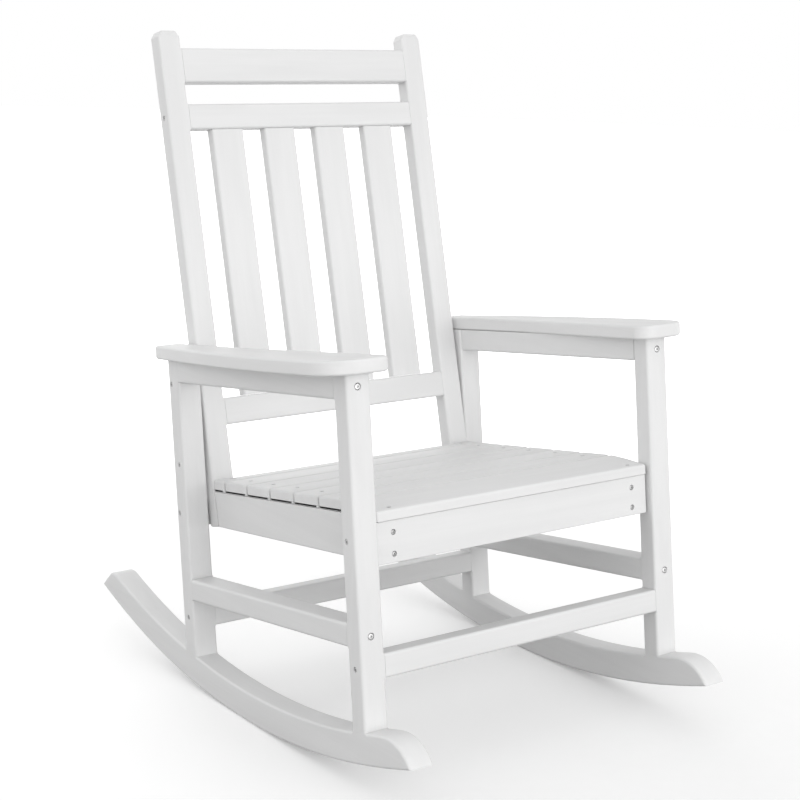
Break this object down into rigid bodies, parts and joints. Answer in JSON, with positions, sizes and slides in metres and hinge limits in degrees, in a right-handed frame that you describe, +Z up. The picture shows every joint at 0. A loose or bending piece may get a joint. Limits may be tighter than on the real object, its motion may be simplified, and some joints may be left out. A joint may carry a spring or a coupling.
{
  "type": "rocking chair",
  "caption": "Slatted outdoor rocking chair with flat arms and an upright slatted back, bolted together from plain boards, that rocks on two curved runners.",
  "frame": {"origin": "on the floor, midway between the two rockers and midway between the front and rear extents, at rest", "axes": "+Z up, the sitter faces -Y, +X is on the sitter's left-hand side. Left and right in node names are as seen from the front, right being +X. The chair is mirrored across x = 0"},
  "size_m": [0.721, 0.9134, 1.0587],
  "materials": {
    "lumber": "white solid plastic lumber, satin, with a faint lengthwise grain",
    "fastener": "stainless steel bolt and screw heads"
  },
  "bodies": {
    "root": {"arm_left": "lumber", "arm_rail_left": "lumber", "arm_rail_right": "lumber", "arm_right": "lumber", "back_lower_rail": "lumber", "back_second_rail": "lumber", "back_slat_1": "lumber", "back_slat_2": "lumber", "back_slat_3": "lumber", "back_slat_4": "lumber", "back_stile_left": "lumber", "back_stile_right": "lumber", "back_top_rail": "lumber", "bolt_apron_left": "fastener", "bolt_apron_right": "fastener", "bolt_arm_rail_front_left": "fastener", "bolt_arm_rail_front_right": "fastener", "bolt_arm_rail_rear_left": "fastener", "bolt_arm_rail_rear_right": "fastener", "bolt_front_stretcher_left": "fastener", "bolt_front_stretcher_right": "fastener", "bolt_rear_stretcher_left": "fastener", "bolt_rear_stretcher_right": "fastener", "bolt_seat_rear_rail_left": "fastener", "bolt_seat_rear_rail_right": "fastener", "bolt_second_rail_left": "fastener", "bolt_second_rail_right": "fastener", "bolt_side_stretcher_front_left": "fastener", "bolt_side_stretcher_front_right": "fastener", "bolt_side_stretcher_rear_left": "fastener", "bolt_side_stretcher_rear_right": "fastener", "bolt_stile_high_left": "fastener", "bolt_stile_high_right": "fastener", "bolt_stile_low_left": "fastener", "bolt_stile_low_right": "fastener", "front_leg_left": "lumber", "front_leg_right": "lumber", "front_stretcher": "lumber", "rear_leg_left": "lumber", "rear_leg_right": "lumber", "rear_stretcher": "lumber", "rocker_left": "lumber", "rocker_right": "lumber", "screw_apron_high_left": "fastener", "screw_apron_high_right": "fastener", "screw_apron_low_left": "fastener", "screw_apron_low_right": "fastener", "seat_apron": "lumber", "seat_rail_left": "lumber", "seat_rail_right": "lumber", "seat_rear_rail": "lumber", "seat_slat_1": "lumber", "seat_slat_2": "lumber", "seat_slat_3": "lumber", "seat_slat_4": "lumber", "seat_slat_5": "lumber", "seat_slat_6": "lumber", "seat_slat_7": "lumber", "side_stretcher_left": "lumber", "side_stretcher_right": "lumber"}
  },
  "joints": []
}
